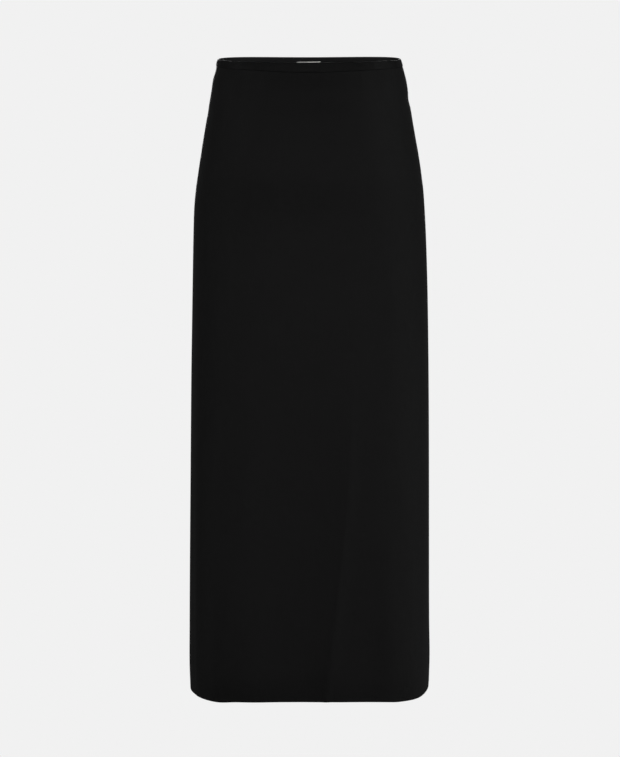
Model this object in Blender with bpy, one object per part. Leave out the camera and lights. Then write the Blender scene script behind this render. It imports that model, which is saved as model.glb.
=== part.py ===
"""A long straight skirt on a narrow waistband, open at the waist and at the hem.

Metres, +Z up. The front faces -Y, and +X is on the right seen from the front.
The origin is the centre of the waist, halfway up the waistband at the sides.
"""

import math

import bmesh
import bpy
import numpy as np

# Cloth.
CLOTH_THICKNESS = 0.0012
HEM_Z = -0.9440
HEM_DEPTH = 0.030
HEM_THICKNESS = 0.0026
HEM_STEP = 0.002
SEAM_GAP = 0.0003

# Waistband. Its top edge and its seam both dip towards the centre of the front, and the
# top edge rides up a little at +X.
BAND_TOP_Z = 0.0065
BAND_TOP_DIP = 0.0047
BAND_TOP_DIP_POWER = 2.0
BAND_TOP_RISE = 0.0010
BAND_SEAM_Z = -0.0045
BAND_SEAM_DIP = 0.0061
BAND_SEAM_DIP_POWER = 4.5
BAND_THICKNESS = 0.0024
BAND_PROUD = 0.0005
BAND_EDGE_ROUNDING = 0.0006

# The side seams swing round towards the hem: forwards at -X, backwards at +X.
SEAM_SWING = 0.060
SEAM_SWING_START_Z = -0.36

# Label, sewn inside the back of the waist, a little off level.
LABEL_WIDTH = 0.0355
LABEL_HEIGHT = 0.016
LABEL_THICKNESS = 0.0008
LABEL_DROP = 0.0078
LABEL_OFFSET = 0.0010
LABEL_SLOPE = 0.02

# How finely each wall is divided. Columns crowd together where the wall turns from the
# front or the back to a side.
PANEL_COLUMNS = 34
HIP_LEVELS = np.linspace(-0.020, -0.240, 12)
LEG_LEVELS = np.linspace(-0.285, -0.870, 11)
LABEL_COLUMNS = 6
LABEL_ROWS = 3
RING_SAMPLES = 181
CORNER_SHARE = 0.19
CORNER_SPREAD = 0.06
CORNER_CROWDING = 1.8

# Level sections of the outer face. Each row gives a height, how far the section reaches to
# each side of the centre, and how square its front and back are, where 2 is an ellipse.
SECTION_COLUMNS = ("z", "left", "right", "front", "back", "front_square", "back_square")
SECTIONS = np.array(
    [
        (0.0065, 0.1336, 0.1344, 0.0920, 0.0930, 3.2, 3.8),
        (-0.0010, 0.1359, 0.1367, 0.0935, 0.0945, 3.2, 3.6),
        (-0.0080, 0.1367, 0.1387, 0.0950, 0.0960, 3.2, 3.4),
        (-0.0250, 0.1417, 0.1435, 0.0995, 0.1000, 3.2, 3.1),
        (-0.0400, 0.1440, 0.1462, 0.1035, 0.1035, 3.2, 3.0),
        (-0.0840, 0.1517, 0.1533, 0.1120, 0.1130, 3.2, 2.9),
        (-0.1280, 0.1593, 0.1614, 0.1155, 0.1210, 3.3, 2.8),
        (-0.1580, 0.1640, 0.1663, 0.1159, 0.1252, 3.4, 2.8),
        (-0.1870, 0.1683, 0.1701, 0.1130, 0.1272, 3.5, 2.9),
        (-0.2170, 0.1711, 0.1724, 0.1095, 0.1268, 3.7, 3.0),
        (-0.2500, 0.1723, 0.1743, 0.1082, 0.1251, 3.9, 3.1),
        (-0.2920, 0.1734, 0.1761, 0.1086, 0.1225, 4.1, 3.3),
        (-0.3520, 0.1748, 0.1780, 0.1103, 0.1190, 4.6, 3.5),
        (-0.4730, 0.1777, 0.1804, 0.1110, 0.1140, 5.5, 3.8),
        (-0.5960, 0.1799, 0.1820, 0.1118, 0.1112, 6.5, 4.1),
        (-0.7200, 0.1817, 0.1831, 0.1128, 0.1094, 7.6, 4.5),
        (-0.8460, 0.1833, 0.1842, 0.1136, 0.1080, 8.7, 5.0),
        (-0.9050, 0.1842, 0.1853, 0.1134, 0.1074, 9.0, 5.2),
        (-0.9440, 0.1834, 0.1846, 0.1120, 0.1070, 8.9, 5.4),
    ]
)

# Long soft folds that run down to the hem. The offsets are from the centre of the face,
# towards +X on the front and back and towards +Y on the sides, at even steps from the top of
# the fold to the hem. A fold has a half width before its line and one after it. hem_share is
# how much of the height is left at the hem.
FOLD_COLUMNS = ("face", "top", "offsets", "height", "half_widths", "hem_share")
FOLDS = (
    ("front", -0.38, (0.046, 0.058, 0.051, 0.040, 0.0235), 0.0038, (0.032, 0.014), 0.40),
    ("front", -0.36, (-0.030, -0.045, -0.062), -0.0016, (0.045, 0.045), 0.30),
    ("front", -0.64, (0.116, 0.122, 0.125), 0.0018, (0.022, 0.016), 0.60),
    ("back", -0.26, (-0.062, -0.080, -0.094), 0.0042, (0.020, 0.028), 1.00),
    ("back", -0.34, (0.020, 0.012, -0.002), 0.0030, (0.024, 0.018), 0.90),
    ("back", -0.28, (0.076, 0.092, 0.102), 0.0038, (0.030, 0.022), 1.00),
    ("back", -0.46, (-0.034, -0.040, -0.046), -0.0030, (0.022, 0.022), 1.00),
    ("back", -0.44, (0.048, 0.050, 0.054), -0.0032, (0.022, 0.022), 1.00),
    ("left", -0.40, (0.040, 0.052, 0.060), 0.0014, (0.022, 0.022), 0.30),
    ("right", -0.34, (0.034, 0.048, 0.058), 0.0016, (0.024, 0.024), 0.30),
)

# Short soft creases that lie across the cloth over the hips. A slope is the rise for each
# metre along the face.
CREASE_COLUMNS = ("face", "offset", "z", "height", "half_height", "half_length", "slope")
CREASES = (
    ("front", -0.085, -0.122, -0.0006, 0.009, 0.034, 0.02),
    ("front", 0.030, -0.052, -0.0008, 0.012, 0.050, -0.05),
    ("right", -0.010, -0.054, -0.0014, 0.009, 0.060, 0.00),
    ("back", -0.055, -0.062, -0.0012, 0.011, 0.040, 0.10),
    ("back", 0.060, -0.070, -0.0012, 0.011, 0.042, -0.12),
)

# Where the front of the hem hangs a little below its level, or above it. A sag fades out
# towards its top.
HEM_SAG_TOP_Z = -0.80
HEM_SAG_COLUMNS = ("offset", "drop", "half_width")
HEM_SAGS = (
    (-0.132, 0.0012, 0.016),
    (-0.085, 0.0005, 0.045),
    (0.026, -0.0005, 0.014),
    (0.132, 0.0005, 0.012),
)

# Places round the skirt, as shares of the way from the side at -X.
CENTRE_FRONT, RIGHT_SIDE, CENTRE_BACK = 0.25, 0.5, 0.75
FACE_DIRECTIONS = {"front": (0, -1), "back": (0, 1), "left": (-1, 0), "right": (1, 0)}


def smooth_step(value):
    value = np.clip(value, 0.0, 1.0)
    return value * value * (3.0 - 2.0 * value)


def section_size(name, z):
    """A column of SECTIONS at any height, from a smooth curve that doesn't overshoot its rows."""
    depth, values = -SECTIONS[:, 0], SECTIONS[:, SECTION_COLUMNS.index(name)]
    step = np.diff(depth)
    rise = np.diff(values) / step
    same_way = rise[1:] * rise[:-1] > 0
    mean_rise = 2.0 * rise[1:] * rise[:-1] / np.where(same_way, rise[1:] + rise[:-1], 1.0)
    slope = np.concatenate([rise[:1], np.where(same_way, mean_rise, 0.0), rise[-1:]])
    at = np.clip(-z, depth[0], depth[-1])
    row = np.clip(np.searchsorted(depth, at) - 1, 0, len(step) - 1)
    t = (at - depth[row]) / step[row]
    start = values[row] * (1 + 2 * t) + slope[row] * step[row] * t
    end = values[row + 1] * (3 - 2 * t) - slope[row + 1] * step[row] * (1 - t)
    return start * (1 - t) ** 2 + end * t**2


def ring_points(z):
    """The section at each height, as closed rings of points that start at -X and pass the front first."""
    angle = np.linspace(0.0, 2.0 * np.pi, RING_SAMPLES)
    across = -np.cos(angle)
    size = {name: section_size(name, z)[:, None] for name in SECTION_COLUMNS[1:]}
    in_front = np.sin(angle) >= 0.0
    half_width = np.where(across < 0.0, size["left"], size["right"])
    square = np.where(in_front, size["front_square"], size["back_square"])
    depth = np.where(in_front, -size["front"], size["back"])
    bulge = np.sqrt(np.clip(1.0 - np.abs(across) ** square, 0.0, None))
    return np.stack([across * half_width, depth * bulge], axis=-1)


def plain_wall(z, share, step):
    """Points and outward directions on the outer face, before its folds.

    share runs from 0 at the side seam at -X, through the front to 0.5 at the one at +X, and
    on through the back to 1. step is a further distance along the cloth.
    """
    swing = SEAM_SWING * smooth_step((SEAM_SWING_START_Z - z) / (SEAM_SWING_START_Z - HEM_Z))
    points = np.empty((len(z), 2))
    outward = np.empty((len(z), 2))
    for index, ring in enumerate(ring_points(z)):
        run = np.concatenate([[0.0], np.cumsum(np.linalg.norm(np.diff(ring, axis=0), axis=1))])
        side_runs = [0.0, run[RING_SAMPLES // 2], run[-1]]
        place = np.interp(share[index], [0.0, RIGHT_SIDE, 1.0], side_runs) + swing[index] + step[index]
        reach = run[-1] / RING_SAMPLES
        near = np.mod([place - reach, place, place + reach], run[-1])
        before, here, after = np.stack([np.interp(near, run, ring[:, axis]) for axis in (0, 1)], axis=-1)
        along = (after - before) / np.linalg.norm(after - before)
        points[index] = here
        outward[index] = along[1], -along[0]
    return points, outward


def on_face(face, points, outward):
    """Each point's offset along a face, and 1 where the wall faces that way, fading as it turns away."""
    offset = points[:, 0] if face in ("front", "back") else points[:, 1]
    return offset, smooth_step(1.5 * outward @ np.array(FACE_DIRECTIONS[face]))


def fold_lift(points, outward, z):
    """How far the folds and creases move the wall outwards."""
    lift = np.zeros(len(z))
    for row in FOLDS:
        fold = dict(zip(FOLD_COLUMNS, row))
        offset, facing = on_face(fold["face"], points, outward)
        down = np.clip((fold["top"] - z) / (fold["top"] - HEM_Z), 0.0, 1.0)
        stops = np.linspace(0.0, 1.0, len(fold["offsets"]))
        path = np.polyval(np.polyfit(stops, fold["offsets"], len(stops) - 1), down)
        growth = smooth_step(2.2 * down) * (1 - (1 - fold["hem_share"]) * smooth_step(2.5 * down - 1.5))
        half_width = np.where(offset < path, *fold["half_widths"])
        lift += facing * fold["height"] * growth * np.exp(-(((offset - path) / half_width) ** 2))
    for row in CREASES:
        crease = dict(zip(CREASE_COLUMNS, row))
        offset, facing = on_face(crease["face"], points, outward)
        run = offset - crease["offset"]
        rise = z - crease["z"] - crease["slope"] * run
        spread = (run / crease["half_length"]) ** 2 + (rise / crease["half_height"]) ** 2
        lift += facing * crease["height"] * np.exp(-spread)
    return lift


def wall_points(z, share, step, outset):
    """A grid of points on the wall, outset from the cloth's outer face."""
    shape = np.shape(z)
    z, share, step, outset = (np.broadcast_to(value, shape).ravel() for value in (z, share, step, outset))
    points, outward = plain_wall(z, share, step)
    points = points + outward * (fold_lift(points, outward, z) + outset)[:, None]
    return np.column_stack([points, z]).reshape(shape + (3,))


def hem_sag(share, step):
    """How far the hem hangs below its level at each of these columns."""
    points, outward = plain_wall(np.full(len(share), HEM_Z), share, step)
    offset, facing = on_face("front", points, outward)
    sag = np.zeros(len(share))
    for row in HEM_SAGS:
        place = dict(zip(HEM_SAG_COLUMNS, row))
        sag += facing * place["drop"] * np.exp(-(((offset - place["offset"]) / place["half_width"]) ** 2))
    return sag


def nearness(share, place):
    """1 at this place round the waist, falling to 0 opposite it."""
    return 0.5 * (1.0 + np.cos(2.0 * np.pi * (share - place)))


def band_top(share):
    dip = BAND_TOP_DIP * nearness(share, CENTRE_FRONT) ** BAND_TOP_DIP_POWER
    return BAND_TOP_Z - dip + BAND_TOP_RISE * nearness(share, RIGHT_SIDE) ** 4


def band_seam(share):
    return BAND_SEAM_Z - BAND_SEAM_DIP * nearness(share, CENTRE_FRONT) ** BAND_SEAM_DIP_POWER


def half_columns(start):
    """Shares and seam clearances of the columns across one half, which starts at this share."""
    fine = np.linspace(0.0, 1.0, 1001)
    crowd = np.ones_like(fine)
    for corner in (CORNER_SHARE, 1.0 - CORNER_SHARE):
        crowd += CORNER_CROWDING * np.exp(-(((fine - corner) / CORNER_SPREAD) ** 2))
    total = np.cumsum(crowd)
    even = np.linspace(total[0], total[-1], PANEL_COLUMNS + 1)
    step = np.zeros(PANEL_COLUMNS + 1)
    step[0], step[-1] = SEAM_GAP / 2, -SEAM_GAP / 2
    return start + 0.5 * np.interp(even, total, fine), step


def cloth_material(name, colour, roughness):
    material = bpy.data.materials.new(name)
    material.use_nodes = True
    shader = material.node_tree.nodes["Principled BSDF"]
    shader.inputs["Base Color"].default_value = (*colour, 1.0)
    shader.inputs["Roughness"].default_value = roughness
    shader.inputs["Metallic"].default_value = 0.0
    return material


def close_wall(name, outer, inner, material):
    """One closed body between two grids of points. Row 0 is the top, and columns run as shares do."""
    rows, columns = outer.shape[:2]
    mesh = bmesh.new()
    out, back = ([[mesh.verts.new(point) for point in row] for row in grid] for grid in (outer, inner))
    for r in range(rows - 1):
        for c in range(columns - 1):
            mesh.faces.new((out[r][c], out[r + 1][c], out[r + 1][c + 1], out[r][c + 1]))
            mesh.faces.new((back[r][c], back[r][c + 1], back[r + 1][c + 1], back[r + 1][c]))
        mesh.faces.new((out[r][0], back[r][0], back[r + 1][0], out[r + 1][0]))
        mesh.faces.new((out[r][-1], out[r + 1][-1], back[r + 1][-1], back[r][-1]))
    for c in range(columns - 1):
        mesh.faces.new((out[0][c], out[0][c + 1], back[0][c + 1], back[0][c]))
        mesh.faces.new((out[-1][c], back[-1][c], back[-1][c + 1], out[-1][c + 1]))
    bmesh.ops.triangulate(mesh, faces=mesh.faces[:], quad_method="SHORT_EDGE")
    data = bpy.data.meshes.new(name)
    mesh.to_mesh(data)
    mesh.free()
    data.materials.append(material)
    data.shade_smooth()
    data.set_sharp_from_angle(angle=math.radians(40))
    piece = bpy.data.objects.new(name, data)
    bpy.context.collection.objects.link(piece)
    return piece


def make_panel(name, start, material):
    """Half of the skirt from the waist seam to the hem, which is turned up inside."""
    share, step = half_columns(start)
    hem_top = HEM_Z + HEM_DEPTH
    levels = np.concatenate([HIP_LEVELS, LEG_LEVELS, [hem_top + HEM_STEP, hem_top, HEM_Z]])
    fade = smooth_step((HEM_SAG_TOP_Z - levels) / (HEM_SAG_TOP_Z - HEM_Z))
    below = levels[:, None] - fade[:, None] * hem_sag(share, step)
    z = np.vstack([band_seam(share) - SEAM_GAP / 2, below])
    in_hem = np.concatenate([[False], levels <= hem_top])[:, None]
    thickness = np.where(in_hem, HEM_THICKNESS, CLOTH_THICKNESS)
    outer = wall_points(z, share, step, 0.0)
    inner = wall_points(z, share, step, -thickness)
    return close_wall(name, outer, inner, material)


def make_waistband(name, start, material):
    """Half of the waistband, folded over at the top."""
    share, step = half_columns(start)
    seam, top = band_seam(share) + SEAM_GAP / 2, band_top(share)
    z = np.vstack([top, top - BAND_EDGE_ROUNDING, 0.5 * (seam + top), seam])
    rounding = BAND_EDGE_ROUNDING * np.array([1, 0, 0, 0])[:, None]
    outer = wall_points(z, share, step, BAND_PROUD - rounding)
    inner = wall_points(z, share, step, BAND_PROUD - BAND_THICKNESS + rounding)
    return close_wall(name, outer, inner, material)


def make_label(name, material):
    """A small flat tag against the inside of the back, from the waistband to just below its seam."""
    step = LABEL_OFFSET + np.linspace(0.5, -0.5, LABEL_COLUMNS + 1) * LABEL_WIDTH
    down = np.linspace(0.0, LABEL_HEIGHT, LABEL_ROWS + 1)[:, None]
    z = BAND_TOP_Z - LABEL_DROP - down - LABEL_SLOPE * step
    back_face = BAND_PROUD - BAND_THICKNESS - SEAM_GAP
    against_cloth = wall_points(z, CENTRE_BACK, step, back_face)
    facing_in = wall_points(z, CENTRE_BACK, step, back_face - LABEL_THICKNESS)
    return close_wall(name, facing_in, against_cloth, material)


def main():
    for old in list(bpy.data.objects):
        bpy.data.objects.remove(old, do_unlink=True)
    cloth = cloth_material("black_cloth", (0.010, 0.010, 0.0105), 0.85)
    band = cloth_material("black_waistband", (0.010, 0.010, 0.0105), 0.80)
    label = cloth_material("cream_label", (0.72, 0.68, 0.60), 0.70)
    make_panel("front_panel", 0.0, cloth)
    make_panel("back_panel", 0.5, cloth)
    make_waistband("waistband_front", 0.0, band)
    make_waistband("waistband_back", 0.5, band)
    make_label("label", label)


main()
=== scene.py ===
"""Looks for a long black column skirt, hollow, and open at the waist and at the hem.

It makes two cloth panels with a turned-up hem, a narrow elasticated waistband, a blank woven
label, the sewing inside, and a pale studio. Metres, +Z up. The front faces -Y, and +X is on
the right seen from the front. The origin is the centre of the waist.
"""

import math

import bpy
import numpy as np
from bpy.props import FloatProperty, FloatVectorProperty, IntProperty, PointerProperty
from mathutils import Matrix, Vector


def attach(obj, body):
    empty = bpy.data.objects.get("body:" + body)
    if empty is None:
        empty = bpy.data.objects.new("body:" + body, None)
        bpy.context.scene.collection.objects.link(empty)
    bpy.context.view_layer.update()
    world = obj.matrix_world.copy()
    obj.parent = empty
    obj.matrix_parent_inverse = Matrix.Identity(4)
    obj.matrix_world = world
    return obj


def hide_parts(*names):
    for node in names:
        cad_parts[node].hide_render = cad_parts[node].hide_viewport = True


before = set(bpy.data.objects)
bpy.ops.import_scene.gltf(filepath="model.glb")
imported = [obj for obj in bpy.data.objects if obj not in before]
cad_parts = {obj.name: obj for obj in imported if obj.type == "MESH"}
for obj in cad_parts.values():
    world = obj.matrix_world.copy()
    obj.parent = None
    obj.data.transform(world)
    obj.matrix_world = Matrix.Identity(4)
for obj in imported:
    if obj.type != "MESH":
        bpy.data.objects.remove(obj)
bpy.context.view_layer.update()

bl_info = {
    "name": "Black column skirt",
    "version": (1, 0, 0),
    "blender": (4, 5, 0),
    "location": "3D View > Sidebar > Skirt",
    "description": "Makes the cloth, sewing and studio of a long black column skirt",
    "category": "Object",
}

# Form. The solids under the cloth have the same sizes, to within a millimetre.
HEM_Z = -0.9440
BAND_TOP_Z = 0.0065
BAND_TOP_DIP = 0.0039
BAND_TOP_DIP_POWER = 2.0
BAND_TOP_RISE = 0.0005
BAND_BACK_ARCH = 0.0023
BAND_BACK_DIP = 0.0028
BAND_SEAM_Z = -0.0045
BAND_SEAM_DIP = 0.0061
BAND_SEAM_DIP_POWER = 4.5
SEAM_SWING = 0.060
SEAM_SWING_START_Z = -0.36

# Level sections of the outer face. Each row gives a height, how far the section reaches to
# each side of the centre, and how square its front and back are, where 2 is an ellipse.
SECTION_COLUMNS = ("z", "left", "right", "front", "back", "front_square", "back_square")
SECTIONS = np.array(
    [
        (0.0065, 0.1336, 0.1344, 0.0920, 0.0930, 3.2, 3.8),
        (-0.0010, 0.1359, 0.1367, 0.0935, 0.0945, 3.2, 3.6),
        (-0.0080, 0.1367, 0.1387, 0.0950, 0.0960, 3.2, 3.4),
        (-0.0250, 0.1417, 0.1435, 0.0995, 0.1000, 3.2, 3.1),
        (-0.0400, 0.1440, 0.1462, 0.1035, 0.1035, 3.2, 3.0),
        (-0.0840, 0.1517, 0.1533, 0.1120, 0.1130, 3.2, 2.9),
        (-0.1280, 0.1593, 0.1614, 0.1155, 0.1210, 3.3, 2.8),
        (-0.1580, 0.1640, 0.1663, 0.1159, 0.1252, 3.4, 2.8),
        (-0.1870, 0.1683, 0.1701, 0.1130, 0.1272, 3.5, 2.9),
        (-0.2170, 0.1711, 0.1724, 0.1095, 0.1268, 3.7, 3.0),
        (-0.2500, 0.1723, 0.1743, 0.1082, 0.1251, 3.9, 3.1),
        (-0.2920, 0.1734, 0.1761, 0.1086, 0.1225, 4.1, 3.3),
        (-0.3520, 0.1748, 0.1780, 0.1103, 0.1190, 4.6, 3.5),
        (-0.4730, 0.1777, 0.1804, 0.1110, 0.1140, 5.5, 3.8),
        (-0.5960, 0.1799, 0.1820, 0.1118, 0.1112, 6.5, 4.1),
        (-0.7200, 0.1817, 0.1831, 0.1128, 0.1094, 7.6, 4.5),
        (-0.8460, 0.1833, 0.1842, 0.1136, 0.1080, 8.7, 5.0),
        (-0.9050, 0.1842, 0.1853, 0.1134, 0.1074, 9.0, 5.2),
        (-0.9440, 0.1834, 0.1846, 0.1120, 0.1070, 8.9, 5.4),
    ]
)

# Long folds that run down to the hem. The offsets are from the centre of the face, towards
# +X on the front and back and towards +Y on the sides, at even steps from the top of the
# fold to the hem. Each row gives the face, the top, the offsets, the height, the half widths
# before and after the fold's line, and how much of the height is left at the hem.
FOLDS = (
    ("front", -0.38, (0.046, 0.058, 0.051, 0.040, 0.0235), 0.0038, (0.032, 0.014), 0.40),
    ("front", -0.36, (-0.030, -0.045, -0.062), -0.0016, (0.045, 0.045), 0.30),
    ("front", -0.64, (0.116, 0.122, 0.125), 0.0018, (0.022, 0.016), 0.60),
    ("back", -0.26, (-0.062, -0.080, -0.094), 0.0042, (0.020, 0.028), 1.00),
    ("back", -0.34, (0.020, 0.012, -0.002), 0.0030, (0.024, 0.018), 0.90),
    ("back", -0.28, (0.076, 0.092, 0.102), 0.0038, (0.030, 0.022), 1.00),
    ("back", -0.46, (-0.034, -0.040, -0.046), -0.0030, (0.022, 0.022), 1.00),
    ("back", -0.44, (0.048, 0.050, 0.054), -0.0032, (0.022, 0.022), 1.00),
    ("left", -0.40, (0.040, 0.052, 0.060), 0.0014, (0.022, 0.022), 0.30),
    ("right", -0.34, (0.034, 0.048, 0.058), 0.0016, (0.024, 0.024), 0.30),
)

# Finer folds that only the cloth shows: the sharp crest of the long front fold, and slight
# dents and ridges beside the larger folds.
FINE_FOLDS = (
    ("front", -0.38, (0.052, 0.064, 0.057, 0.042, 0.0250), 0.00155, (0.0060, 0.0060), 0.85),
    ("front", -0.46, (0.026, 0.030, 0.023, 0.012, -0.004), -0.00040, (0.0140, 0.0140), 0.60),
    ("front", -0.30, (-0.106, -0.112, -0.118), -0.00035, (0.0140, 0.0140), 0.50),
    ("front", -0.50, (0.094, 0.100, 0.098), -0.00035, (0.0160, 0.0160), 0.60),
    ("front", -0.46, (-0.1725, -0.1738, -0.1735), -0.00110, (0.0030, 0.0030), 0.90),
    ("back", -0.22, (-0.088, -0.112, -0.130), -0.00070, (0.0110, 0.0110), 0.80),
    ("back", -0.30, (-0.012, -0.018, -0.026), -0.00060, (0.0120, 0.0120), 0.80),
    ("back", -0.36, (0.110, 0.124, 0.134), -0.00060, (0.0120, 0.0120), 0.80),
    ("left", -0.30, (-0.020, -0.012, -0.006), -0.00060, (0.0140, 0.0140), 0.50),
    ("left", -0.52, (-0.050, -0.046, -0.044), 0.00050, (0.0120, 0.0120), 0.60),
    ("right", -0.28, (-0.034, -0.026, -0.018), -0.00060, (0.0150, 0.0150), 0.50),
    ("right", -0.55, (0.018, 0.012, 0.008), 0.00050, (0.0120, 0.0120), 0.60),
)

# Short soft creases that lie across the cloth. Each row gives the face, the offset, the level,
# how far it stands out, half its height, half its length, and its rise for each metre along.
CREASES = (
    ("front", -0.085, -0.122, -0.0006, 0.009, 0.034, 0.02),
    ("front", 0.030, -0.052, -0.0008, 0.012, 0.050, -0.05),
    ("right", -0.010, -0.054, -0.0014, 0.009, 0.060, 0.00),
    ("back", -0.055, -0.062, -0.0012, 0.011, 0.040, 0.10),
    ("back", 0.060, -0.070, -0.0012, 0.011, 0.042, -0.12),
)
FINE_CREASES = (
    ("front", -0.105, -0.126, -0.00022, 0.0035, 0.050, 0.02),
    ("front", 0.055, -0.122, -0.00022, 0.0035, 0.034, -0.03),
    ("front", 0.000, -0.150, 0.00110, 0.0360, 0.090, 0.00),
    ("front", 0.058, -0.150, -0.00030, 0.0090, 0.046, -0.06),
    ("front", -0.020, -0.236, -0.00070, 0.0200, 0.070, 0.02),
    ("front", 0.105, -0.236, -0.00030, 0.0090, 0.030, -0.20),
    ("front", -0.075, -0.955, -0.00150, 0.0300, 0.075, 0.00),
    ("left", 0.010, -0.072, -0.00050, 0.0070, 0.050, 0.12),
    ("left", -0.030, -0.128, -0.00040, 0.0080, 0.034, -0.18),
    ("right", 0.034, -0.108, -0.00050, 0.0080, 0.040, 0.16),
    ("right", -0.036, -0.166, -0.00035, 0.0090, 0.034, -0.14),
    ("back", -0.080, -0.112, -0.00060, 0.0080, 0.036, 0.22),
    ("back", 0.084, -0.126, -0.00055, 0.0090, 0.034, -0.24),
    ("back", 0.004, -0.040, -0.00060, 0.0070, 0.050, 0.00),
    ("back", 0.000, -0.208, -0.00060, 0.0130, 0.056, 0.03),
)

# Slight waves that the elastic puts into the waist, and that the cut edge leaves at the hem.
# Each row gives the level, the reach up and down, the waves round, their height and their turn.
WAVES = (
    (0.0010, 0.018, 43, 0.00012, 0.4),
    (0.0010, 0.022, 61, 0.00009, 1.7),
    (-0.0080, 0.020, 34, 0.00010, 2.9),
    (HEM_Z, 0.110, 9, 0.00045, 0.9),
    (HEM_Z, 0.070, 17, 0.00025, 2.2),
)

# Where the front of the hem hangs a little below its level, or above it. Each row gives the
# offset, the drop and the half width. A sag fades out towards its top.
HEM_SAG_TOP_Z = -0.80
HEM_SAGS = (
    (-0.134, 0.0016, 0.018),
    (-0.078, 0.0009, 0.050),
    (0.026, -0.0005, 0.014),
    (0.132, 0.0005, 0.012),
)

# Places round the skirt, as shares of the way from the side at -X. The way round is about a
# metre. A side seam's allowance is pressed in the last direction.
CENTRE_FRONT, RIGHT_SIDE, CENTRE_BACK = 0.25, 0.5, 0.75
WAY_ROUND = 1.0
HALVES = (("front", 0.0), ("back", RIGHT_SIDE))
SIDE_SEAMS = (("left", 0.0, -1), ("right", RIGHT_SIDE, 1))
FACE_DIRECTIONS = {"front": (0, -1), "back": (0, 1), "left": (-1, 0), "right": (1, 0)}
FORM_LEVELS = np.linspace(BAND_TOP_Z + BAND_TOP_RISE, HEM_Z, 476)
RING_SAMPLES = 721
RING_STOPS = 1440

# Sewing.
SEAM_CLEARANCE = 0.00001
LAYER_GAP = 0.0001
ROLL_ANGLES = np.radians([0, 18, 36, 54, 72, 90])
BAND_FOLD_ANGLES = np.radians([6, 22, 38, 54, 72, 90])
HEM_FOLD_ANGLES = np.radians(np.linspace(0, 180, 11))
# The rows are closer above this level, and the dip of the waist seam fades out over this reach.
NEAR_WAIST_Z = -0.060
SEAM_DIP_REACH = 0.045
# How far the bulk of a side allowance shows, in widths of it. The hem's fold makes room for a
# share of it, and the turned-up cloth for all of it over a short rise.
BULK_REACH = 2.2
HEM_ROOM, HEM_ROOM_RISE = 0.2, 0.008
ALLOWANCE_LAP = 0.0006
SIDE_TOP_GAP, SIDE_END_RISE, SIDE_ROUNDING = 0.0012, 0.012, 0.0003
WAIST_ROLL, WAIST_ROUNDING = 0.0009, 0.0002
# The label's ends are turned under. Between them it has a share of their thickness.
LABEL_GAP, LABEL_ROUNDING, LABEL_EDGE = 0.0003, 0.00012, 0.0006
LABEL_CURL, LABEL_CURL_START = 0.0006, 0.55
LABEL_TURN, LABEL_SINGLE = 0.11, 0.62
# The label's stitch is given by spacing, length and arch, and the hem's by length, arch and turn.
LABEL_STITCH, LABEL_STITCH_INSET = (0.0026, 0.0020, 0.00012), 0.0016
HEM_STITCH, HEM_CATCH_RISE, HEM_CATCH_DEPTH = (0.0044, 0.0005, math.radians(42)), 0.0006, 0.0004
OVERLOCK_ARCH_AND_TURN = (0.0002, math.radians(68))
STITCH_UNEVENNESS = math.radians(5)
FACING_PROBE = 0.001

# Patterns in the materials. Scales are to the metre, widths and depths are in metres, and the
# rest are shares.
WANDER_SCALE, WANDER = 60.0, 1.5
COURSE_WIDTH, COURSE_SHARE = 0.8, 0.35
PEBBLE_SCALE, STREAK_SCALE, CLOUD_SCALE = 1400.0, 420.0, 16.0
STREAK_STRETCH, STREAK_SHARE = 0.035, 0.62
PEBBLE_DEPTH, STREAK_DEPTH, KNIT_DEPTH = 0.00010, 0.00012, 0.00007
BRUSHED_FIBRE_SCALE, THREAD_FIBRE_SCALE, TAPE_YARN_SCALE = 2600.0, 3200.0, 1800.0
ELASTIC_RIB_WIDTH, TAPE_RIB_WIDTH = 0.0014, 0.00045
RIB_DEPTH, YARN_DEPTH = 0.00006, 0.00005
# What each material's function gives, in order. The sheen may be left out.
SURFACE_INPUTS = ("Base Color", "Roughness", "Specular IOR Level", "Normal", "Sheen Weight")

# Studio. Each softbox has its turn and height in degrees, its width and height, and its watts.
STAGE_TURNS = 64
DOME_RADIUS = 12.0
SKIRT_MIDDLE = (0.0, 0.0, -0.45)
SOFTBOX_DISTANCE = 3.0
SOFTBOXES = (
    ("front", 0, 25, (1.6, 1.8), 18.0),
    ("small_front", -20, 0, (1.0, 1.4), 10.5),
    ("low_front", 30, -15, (1.6, 1.8), 23.0),
    ("right", 75, 25, (1.6, 1.8), 24.0),
    ("low_right", 90, -15, (1.6, 1.8), 11.0),
    ("low_left_front", -45, -15, (1.6, 1.8), 4.5),
    ("left", -75, 25, (1.6, 1.8), 16.5),
    ("low_left", -75, -15, (1.6, 1.8), 7.5),
    ("back", 180, 15, (1.6, 1.8), 36.0),
)


def smooth_step(value):
    value = np.clip(value, 0.0, 1.0)
    return value * value * (3.0 - 2.0 * value)


def section_size(name, z):
    """A column of SECTIONS at any height, from a smooth curve that doesn't overshoot its rows."""
    depth, values = -SECTIONS[:, 0], SECTIONS[:, SECTION_COLUMNS.index(name)]
    step = np.diff(depth)
    rise = np.diff(values) / step
    same_way = rise[1:] * rise[:-1] > 0
    mean_rise = 2.0 * rise[1:] * rise[:-1] / np.where(same_way, rise[1:] + rise[:-1], 1.0)
    slope = np.concatenate([rise[:1], np.where(same_way, mean_rise, 0.0), rise[-1:]])
    at = np.clip(-z, depth[0], depth[-1])
    row = np.clip(np.searchsorted(depth, at) - 1, 0, len(step) - 1)
    t = (at - depth[row]) / step[row]
    start = values[row] * (1 + 2 * t) + slope[row] * step[row] * t
    end = values[row + 1] * (3 - 2 * t) - slope[row + 1] * step[row] * (1 - t)
    return start * (1 - t) ** 2 + end * t**2


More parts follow.
